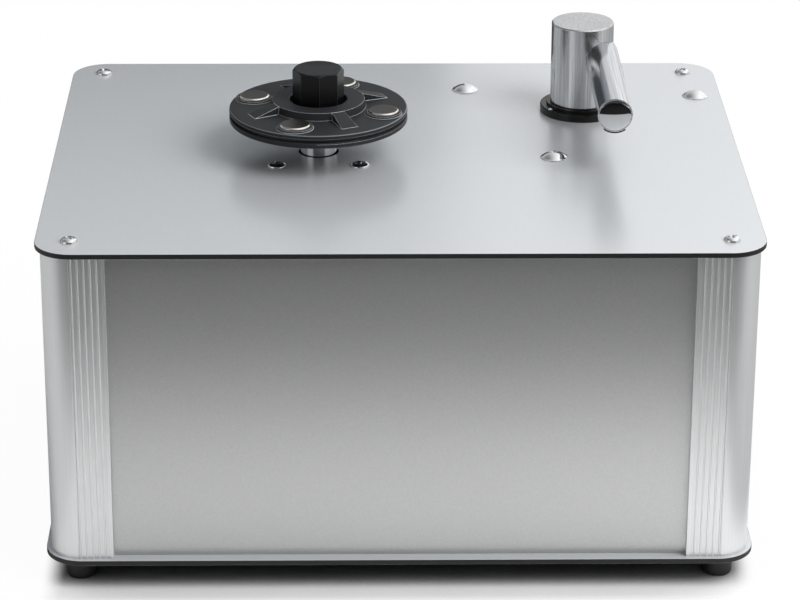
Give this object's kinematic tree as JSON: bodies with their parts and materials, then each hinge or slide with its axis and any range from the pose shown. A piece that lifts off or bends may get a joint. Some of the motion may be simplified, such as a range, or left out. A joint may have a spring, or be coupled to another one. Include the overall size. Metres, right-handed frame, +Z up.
{
  "type": "record cleaning machine",
  "caption": "Vacuum record cleaning machine: satin aluminium case, label-sized platter with screw-down clamp and a swinging suction arm on a post.",
  "frame": {"origin": "on the floor, under the middle of the case", "axes": "+X to the right of the front, +Y to the back, +Z up"},
  "size_m": [0.395, 0.318, 0.2552],
  "materials": {
    "composite_sheet": "satin, bonded to a black plastic core",
    "extruded_aluminium": "satin anodised",
    "panel_aluminium": "fine grained, anodised",
    "bright_screw_steel": "polished",
    "black_rubber": "matte",
    "motor_steel": "zinc plated",
    "gearbox_alloy": "die cast",
    "sintered_bronze": "plain",
    "turned_steel": "turned",
    "black_moulding": "fine satin",
    "pad_steel": "satin",
    "polished_aluminium": "turned and polished",
    "black_anodised": "black anodised",
    "pile_strip": "short black pile",
    "tank_plastic": "natural, translucent in use",
    "hose_rubber": "matte",
    "blower_steel": "black paint",
    "inlet_plastic": "matte",
    "rocker_plastic": "glossy",
    "capacitor_can": "drawn can",
    "terminal_plastic": "natural",
    "cable_jacket": "matte"
  },
  "bodies": {
    "case": {"deck_plate": "composite_sheet", "base_plate": "composite_sheet", "corner_profile_front_left": "extruded_aluminium", "corner_profile_front_right": "extruded_aluminium", "corner_profile_rear_left": "extruded_aluminium", "corner_profile_rear_right": "extruded_aluminium", "front_panel": "panel_aluminium", "rear_panel": "panel_aluminium", "left_panel": "panel_aluminium", "right_panel": "panel_aluminium", "deck_screws": "bright_screw_steel", "feet": "black_rubber", "base_screws": "bright_screw_steel", "gearbox": "gearbox_alloy", "gear_motor": "motor_steel", "gearbox_bush": "sintered_bronze", "arm_flange": "black_anodised", "flange_screws": "bright_screw_steel", "tank_lid": "tank_plastic", "riser_seal": "black_rubber", "tank_vessel": "tank_plastic", "tank_bolts": "bright_screw_steel", "tank_grommets": "black_rubber", "tank_nuts": "motor_steel", "suction_hose": "hose_rubber", "hose_clips": "turned_steel", "blower_housing": "blower_steel", "blower_cover": "blower_steel", "blower_motor": "motor_steel", "blower_pillars": "gearbox_alloy", "drain_outlet": "turned_steel", "drain_hose": "hose_rubber", "mains_inlet": "inlet_plastic", "switch_housings": "inlet_plastic", "run_capacitor": "capacitor_can", "terminal_block": "terminal_plastic", "wiring": "cable_jacket"},
    "platter": {"output_shaft": "turned_steel", "spindle_hub": "turned_steel", "platter": "black_moulding", "platter_screws": "bright_screw_steel", "platter_mat": "black_rubber", "record_spindle": "turned_steel"},
    "clamp": {"clamp_disc": "black_moulding", "clamp_pads": "pad_steel", "clamp_seal": "black_rubber"},
    "knob_washer": {"knob_washer": "black_moulding"},
    "knob": {"clamp_knob": "black_moulding"},
    "arm_bush": {"arm_bush": "black_moulding"},
    "vacuum_arm": {"arm_riser": "polished_aluminium", "arm_post": "polished_aluminium", "arm_tube": "polished_aluminium", "arm_end_cap": "polished_aluminium", "arm_strips": "pile_strip"},
    "impeller": {"blower_impeller": "gearbox_alloy", "blower_shaft": "turned_steel"},
    "direction_rocker": {"direction_rocker": "rocker_plastic"},
    "suction_rocker": {"suction_rocker": "rocker_plastic"},
    "fuse_drawer": {"fuse_drawer": "inlet_plastic"},
    "drain_plug": {"drain_plug": "black_rubber"}
  },
  "joints": [
    {"name": "platter_spin", "type": "hinge", "parent": "case", "child": "platter", "pos_m": [-0.0454, 0.0005, 0.22], "axis": [0, 0, 1], "continuous": true},
    {"name": "clamp_lift", "type": "slide", "parent": "platter", "child": "clamp", "axis": [0, 0, 1], "range_m": [0, 0.08]},
    {"name": "knob_rise", "type": "slide", "parent": "clamp", "child": "knob_washer", "axis": [0, 0, 1], "range_m": [0, 0.0081]},
    {"name": "knob_turn", "type": "hinge", "parent": "knob_washer", "child": "knob", "pos_m": [-0.0454, 0.0005, 0.24], "axis": [0, 0, 1], "range_deg": [0, 2880]},
    {"name": "arm_swivel", "type": "hinge", "parent": "case", "child": "arm_bush", "pos_m": [0.111, 0.0721, 0.2], "axis": [0, 0, 1], "range_deg": [-75, 30]},
    {"name": "arm_lift", "type": "slide", "parent": "arm_bush", "child": "vacuum_arm", "axis": [0, 0, 1], "range_m": [0, 0.01]},
    {"name": "blower_spin", "type": "hinge", "parent": "case", "child": "impeller", "pos_m": [-0.115, 0.066, 0.09], "axis": [0, 0, 1], "continuous": true},
    {"name": "direction_switch", "type": "hinge", "parent": "case", "child": "direction_rocker", "pos_m": [0.1892, -0.098, 0.139], "axis": [0, 1, 0], "range_deg": [-12, 12]},
    {"name": "suction_switch", "type": "hinge", "parent": "case", "child": "suction_rocker", "pos_m": [0.1892, -0.06, 0.139], "axis": [0, 1, 0], "range_deg": [-24, 0]},
    {"name": "fuse_drawer_pull", "type": "slide", "parent": "case", "child": "fuse_drawer", "axis": [0, 1, 0], "range_m": [0, 0.016]},
    {"name": "drain_plug_pull", "type": "slide", "parent": "case", "child": "drain_plug", "axis": [0, 1, 0], "range_m": [0, 0.02]}
  ],
  "couplings": [
    {"joint": "knob_rise", "follows": "knob_turn", "m_per_rad": 0.00015915}
  ]
}
